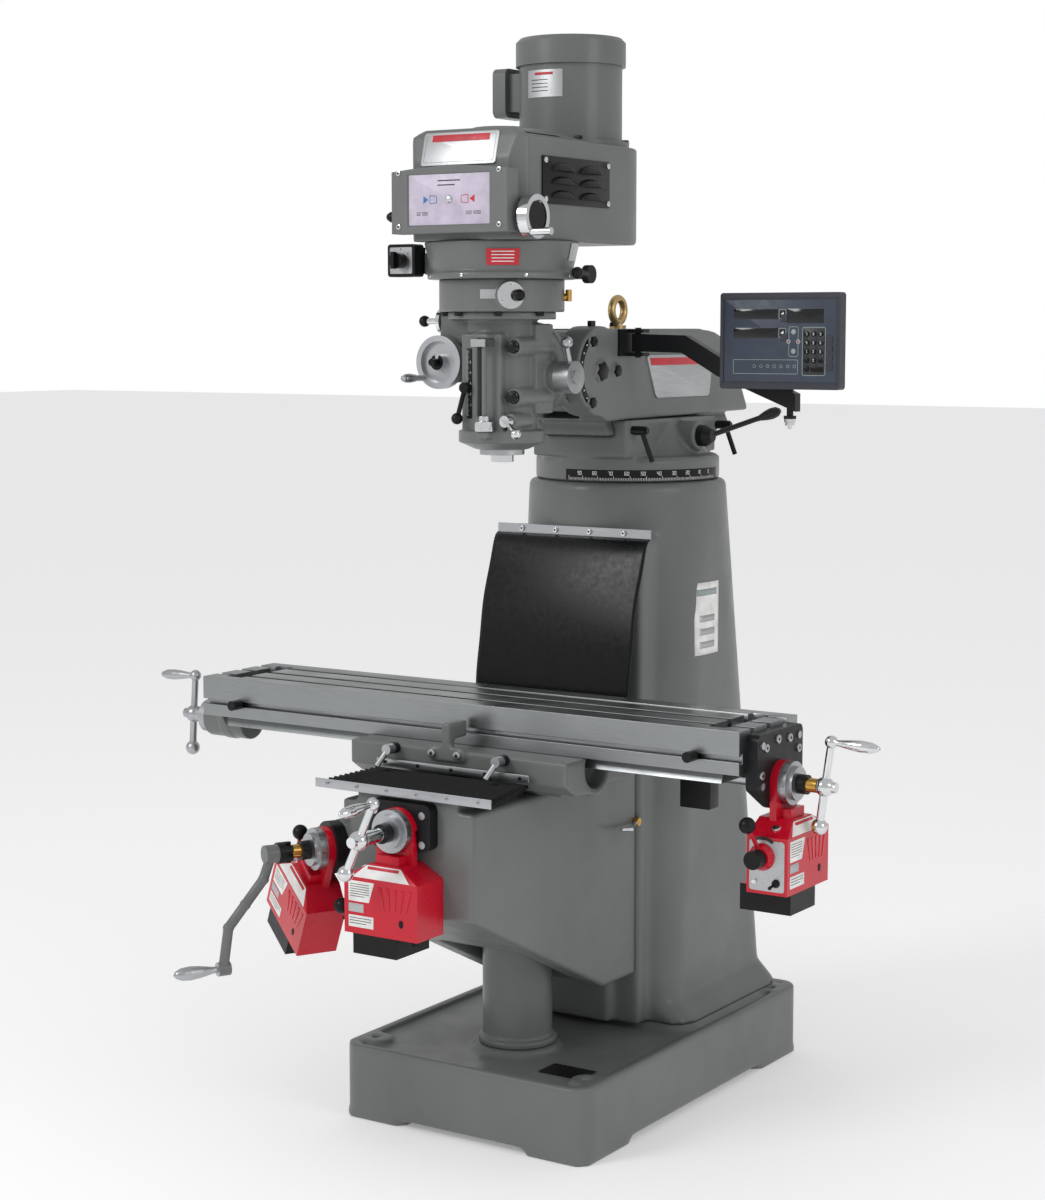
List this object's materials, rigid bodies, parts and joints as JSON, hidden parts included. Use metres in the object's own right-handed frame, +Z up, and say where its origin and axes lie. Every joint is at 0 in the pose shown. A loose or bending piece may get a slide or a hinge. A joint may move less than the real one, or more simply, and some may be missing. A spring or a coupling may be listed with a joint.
{
  "type": "vertical milling machine",
  "caption": "Knee-type vertical milling machine with turret, sliding ram, tilting head, power feeds and digital readout; every slide, crank, lever and lock moves on its own joint.",
  "frame": {"origin": "centre of the base casting's footprint, on the floor", "axes": "+Z up, -Y towards the operator, +X to the operator's right (the table's long travel)"},
  "size_m": [1.6823, 1.382, 2.1171],
  "materials": {
    "casting": "semi-gloss paint",
    "table_iron": "ground, lightly oiled",
    "steel": "ground",
    "chrome": "polished",
    "black_steel": "black oxide",
    "alu": "turned",
    "zinc": "yellow zinc",
    "red_paint": "gloss paint",
    "rubber": "smooth",
    "plastic": "fine texture",
    "cover": "semi-gloss paint"
  },
  "bodies": {
    "frame": {"base": "casting", "column": "casting", "screw_pedestal": "casting", "cover_strip": "alu", "rear_way_cover": "rubber"},
    "turret": {"turret": "casting"},
    "ram_lever": {"ram_pinion_lever": "black_steel"},
    "ram_lock_a": {"ram_lock_front": "black_steel"},
    "ram_lock_b": {"ram_lock_rear": "black_steel"},
    "ram": {"ram": "casting", "eye_bolt": "zinc", "dro_bracket": "black_steel"},
    "arm": {"dro_arm": "black_steel"},
    "console": {"dro_console": "plastic"},
    "knuckle": {"knuckle": "casting"},
    "head": {"head_casting": "casting", "gear_ring": "casting", "gear_housing": "casting", "belt_housing": "casting", "speed_plate": "cover", "louvre_panel": "black_steel", "motor": "casting", "switch_box": "plastic", "drive_belt": "rubber"},
    "switch": {"switch_knob": "plastic"},
    "motor_pulley": {"motor_pulley": "steel"},
    "spindle_pulley": {"spindle_pulley": "steel"},
    "quill": {"quill": "steel"},
    "spindle": {"spindle": "chrome"},
    "depth_nut": {"depth_nut": "chrome"},
    "quill_lever": {"quill_feed_lever": "alu"},
    "quill_wheel": {"quill_handwheel": "alu"},
    "quill_lock": {"quill_lock": "chrome"},
    "engage": {"feed_engage_crank": "chrome"},
    "trip": {"feed_trip_lever": "plastic"},
    "speed_wheel": {"speed_handwheel": "chrome"},
    "brake": {"brake_lever": "black_steel"},
    "back_gear": {"back_gear_knob": "chrome"},
    "range": {"range_lever": "black_steel"},
    "knee": {"knee": "casting", "z_feed": "red_paint", "y_feed": "red_paint"},
    "knee_lock": {"knee_lock": "chrome"},
    "knee_screw": {"knee_screw": "steel"},
    "z_crank": {"z_crank": "black_steel"},
    "z_lever": {"z_feed_lever": "red_paint"},
    "y_lever": {"y_feed_lever": "red_paint"},
    "y_crank": {"y_crank": "chrome"},
    "saddle": {"saddle": "casting", "front_bellows": "rubber"},
    "lock_left": {"saddle_lock_left": "alu"},
    "lock_right": {"saddle_lock_right": "alu"},
    "table": {"table": "table_iron", "table_stops": "black_steel", "left_bracket": "casting", "x_feed": "red_paint"},
    "table_screw": {"table_screw": "steel", "x_cranks": "chrome"},
    "x_lever": {"x_feed_lever": "red_paint"},
    "x_knob": {"x_feed_knob": "plastic"}
  },
  "joints": [
    {"name": "turret_swing", "type": "hinge", "parent": "frame", "child": "turret", "pos_m": [0, 0.18, 1.296], "axis": [0, 0, 1], "range_deg": [-180, 180]},
    {"name": "ram_slide", "type": "slide", "parent": "turret", "child": "ram", "axis": [0, 1, 0], "range_m": [-0.215, 0.09]},
    {"name": "ram_lever_turn", "type": "hinge", "parent": "turret", "child": "ram_lever", "pos_m": [0.14, 0.197, 1.3353], "axis": [1, 0, 0], "range_deg": [-700, 300]},
    {"name": "ram_lock_front_turn", "type": "hinge", "parent": "turret", "child": "ram_lock_a", "pos_m": [0.125, 0.008, 1.3513], "axis": [1, 0, 0], "range_deg": [-60, 60]},
    {"name": "ram_lock_rear_turn", "type": "hinge", "parent": "turret", "child": "ram_lock_b", "pos_m": [0.125, 0.356, 1.3513], "axis": [1, 0, 0], "range_deg": [-60, 60]},
    {"name": "console_arm_swing", "type": "hinge", "parent": "ram", "child": "arm", "pos_m": [0.127, 0.005, 1.5256], "axis": [0, 0, -1], "range_deg": [-45, 60]},
    {"name": "console_turn", "type": "hinge", "parent": "arm", "child": "console", "pos_m": [0.463, 0.005, 1.42], "axis": [0, 0, -1], "range_deg": [-60, 15]},
    {"name": "head_nod", "type": "hinge", "parent": "ram", "child": "knuckle", "pos_m": [0, -0.097, 1.4701], "axis": [-1, 0, 0], "range_deg": [-45, 20]},
    {"name": "head_swing", "type": "hinge", "parent": "knuckle", "child": "head", "pos_m": [0, -0.207, 1.4751], "axis": [0, -1, 0], "range_deg": [-40, 90]},
    {"name": "switch_turn", "type": "hinge", "parent": "head", "child": "switch", "pos_m": [-0.182, -0.37, 1.6821], "axis": [0, 1, 0], "range_deg": [-60, 60]},
    {"name": "quill_slide", "type": "slide", "parent": "head", "child": "quill", "axis": [0, 0, 1], "range_m": [-0.127, 0]},
    {"name": "spindle_spin", "type": "hinge", "parent": "quill", "child": "spindle", "pos_m": [0, -0.29, 1.3001], "axis": [0, 0, 1], "continuous": true},
    {"name": "spindle_pulley_spin", "type": "hinge", "parent": "head", "child": "spindle_pulley", "pos_m": [0, -0.29, 1.7651], "axis": [0, 0, 1], "continuous": true},
    {"name": "motor_spin", "type": "hinge", "parent": "head", "child": "motor_pulley", "pos_m": [0, -0.045, 1.7651], "axis": [0, 0, 1], "continuous": true},
    {"name": "depth_nut_slide", "type": "slide", "parent": "head", "child": "depth_nut", "axis": [0, 0, 1], "range_m": [0, 0.12]},
    {"name": "quill_lever_turn", "type": "hinge", "parent": "head", "child": "quill_lever", "pos_m": [0.11, -0.23565, 1.4611], "axis": [1, 0, 0], "range_deg": [-10, 470]},
    {"name": "quill_wheel_turn", "type": "hinge", "parent": "head", "child": "quill_wheel", "pos_m": [-0.111, -0.33, 1.4891], "axis": [0, 1, 0], "continuous": true},
    {"name": "quill_lock_turn", "type": "hinge", "parent": "head", "child": "quill_lock", "pos_m": [0.058, -0.36, 1.3801], "axis": [0, 1, 0], "range_deg": [-45, 45]},
    {"name": "feed_engage_turn", "type": "hinge", "parent": "head", "child": "engage", "pos_m": [-0.13, -0.296, 1.5671], "axis": [1, 0, 0], "range_deg": [-45, 45]},
    {"name": "feed_trip_turn", "type": "hinge", "parent": "head", "child": "trip", "pos_m": [-0.032, -0.37, 1.4421], "axis": [0, 1, 0], "range_deg": [-18, 25]},
    {"name": "speed_wheel_turn", "type": "hinge", "parent": "head", "child": "speed_wheel", "pos_m": [0.15, -0.412, 1.7551], "axis": [1, 0, 0], "continuous": true},
    {"name": "brake_turn", "type": "hinge", "parent": "head", "child": "brake", "pos_m": [-0.135, -0.344, 1.7611], "axis": [1, 0, 0], "range_deg": [-30, 30]},
    {"name": "back_gear_turn", "type": "hinge", "parent": "head", "child": "back_gear", "pos_m": [0.082, -0.38434, 1.6141], "axis": [0.6561, -0.7547, 0], "range_deg": [-60, 60]},
    {"name": "range_turn", "type": "hinge", "parent": "head", "child": "range", "pos_m": [0.15, -0.244, 1.6541], "axis": [1, 0, 0], "range_deg": [-40, 40]},
    {"name": "knee_slide", "type": "slide", "parent": "frame", "child": "knee", "axis": [0, 0, 1], "range_m": [0, 0.406], "deforming": ["rear_way_cover"]},
    {"name": "knee_lock_turn", "type": "hinge", "parent": "knee", "child": "knee_lock", "pos_m": [0.15, -0.036, 0.572], "axis": [1, 0, 0], "range_deg": [-20, 35]},
    {"name": "knee_screw_turn", "type": "hinge", "parent": "knee", "child": "knee_screw", "pos_m": [0, -0.238, 0.56], "axis": [0, 0, 1], "range_deg": [-5, 29000]},
    {"name": "z_crank_turn", "type": "hinge", "parent": "knee", "child": "z_crank", "pos_m": [-0.20845, -0.63003, 0.582], "axis": [-0.4695, -0.8829, 0], "range_deg": [-10, 58000]},
    {"name": "z_feed_lever_turn", "type": "hinge", "parent": "knee", "child": "z_lever", "pos_m": [-0.31604, -0.54111, 0.51653], "axis": [-0.7796, 0.4145, 0.4695], "range_deg": [-20, 20]},
    {"name": "y_feed_lever_turn", "type": "hinge", "parent": "knee", "child": "y_lever", "pos_m": [-0.09, -0.6393, 0.524], "axis": [-1, 0, 0], "range_deg": [-20, 20]},
    {"name": "saddle_slide", "type": "slide", "parent": "knee", "child": "saddle", "axis": [0, 1, 0], "range_m": [-0.14, 0.095], "deforming": ["front_bellows"]},
    {"name": "y_crank_turn", "type": "hinge", "parent": "knee", "child": "y_crank", "pos_m": [0, -0.7, 0.646], "axis": [0, -1, 0], "range_deg": [-7500, 11000]},
    {"name": "saddle_lock_left_turn", "type": "hinge", "parent": "saddle", "child": "lock_left", "pos_m": [-0.138, -0.46, 0.7567], "axis": [0, 1, 0], "range_deg": [-30, 30]},
    {"name": "saddle_lock_right_turn", "type": "hinge", "parent": "saddle", "child": "lock_right", "pos_m": [0.112, -0.46, 0.7567], "axis": [0, 1, 0], "range_deg": [-30, 30]},
    {"name": "table_slide", "type": "slide", "parent": "saddle", "child": "table", "axis": [1, 0, 0], "range_m": [-0.3, 0.36]},
    {"name": "table_screw_turn", "type": "hinge", "parent": "table", "child": "table_screw", "pos_m": [0, -0.2715, 0.738], "axis": [1, 0, 0], "range_deg": [-22000, 26500]},
    {"name": "x_feed_lever_turn", "type": "hinge", "parent": "table", "child": "x_lever", "pos_m": [0.6, -0.3615, 0.616], "axis": [0, -1, 0], "range_deg": [-20, 20]},
    {"name": "x_feed_knob_turn", "type": "hinge", "parent": "table", "child": "x_knob", "pos_m": [0.6, -0.3815, 0.616], "axis": [0, -1, 0], "range_deg": [0, 270]}
  ],
  "couplings": [
    {"joint": "ram_lever_turn", "follows": "ram_slide", "rad_per_m": 50},
    {"joint": "spindle_pulley_spin", "follows": "spindle_spin", "ratio": 1},
    {"joint": "motor_spin", "follows": "spindle_spin", "ratio": 1.1429},
    {"joint": "quill_lever_turn", "follows": "quill_slide", "rad_per_m": -62.5},
    {"joint": "knee_screw_turn", "follows": "knee_slide", "rad_per_m": 1236.8},
    {"joint": "z_crank_turn", "follows": "knee_slide", "rad_per_m": 2473.7},
    {"joint": "y_crank_turn", "follows": "saddle_slide", "rad_per_m": -1236.8},
    {"joint": "table_screw_turn", "follows": "table_slide", "rad_per_m": 1236.8}
  ]
}
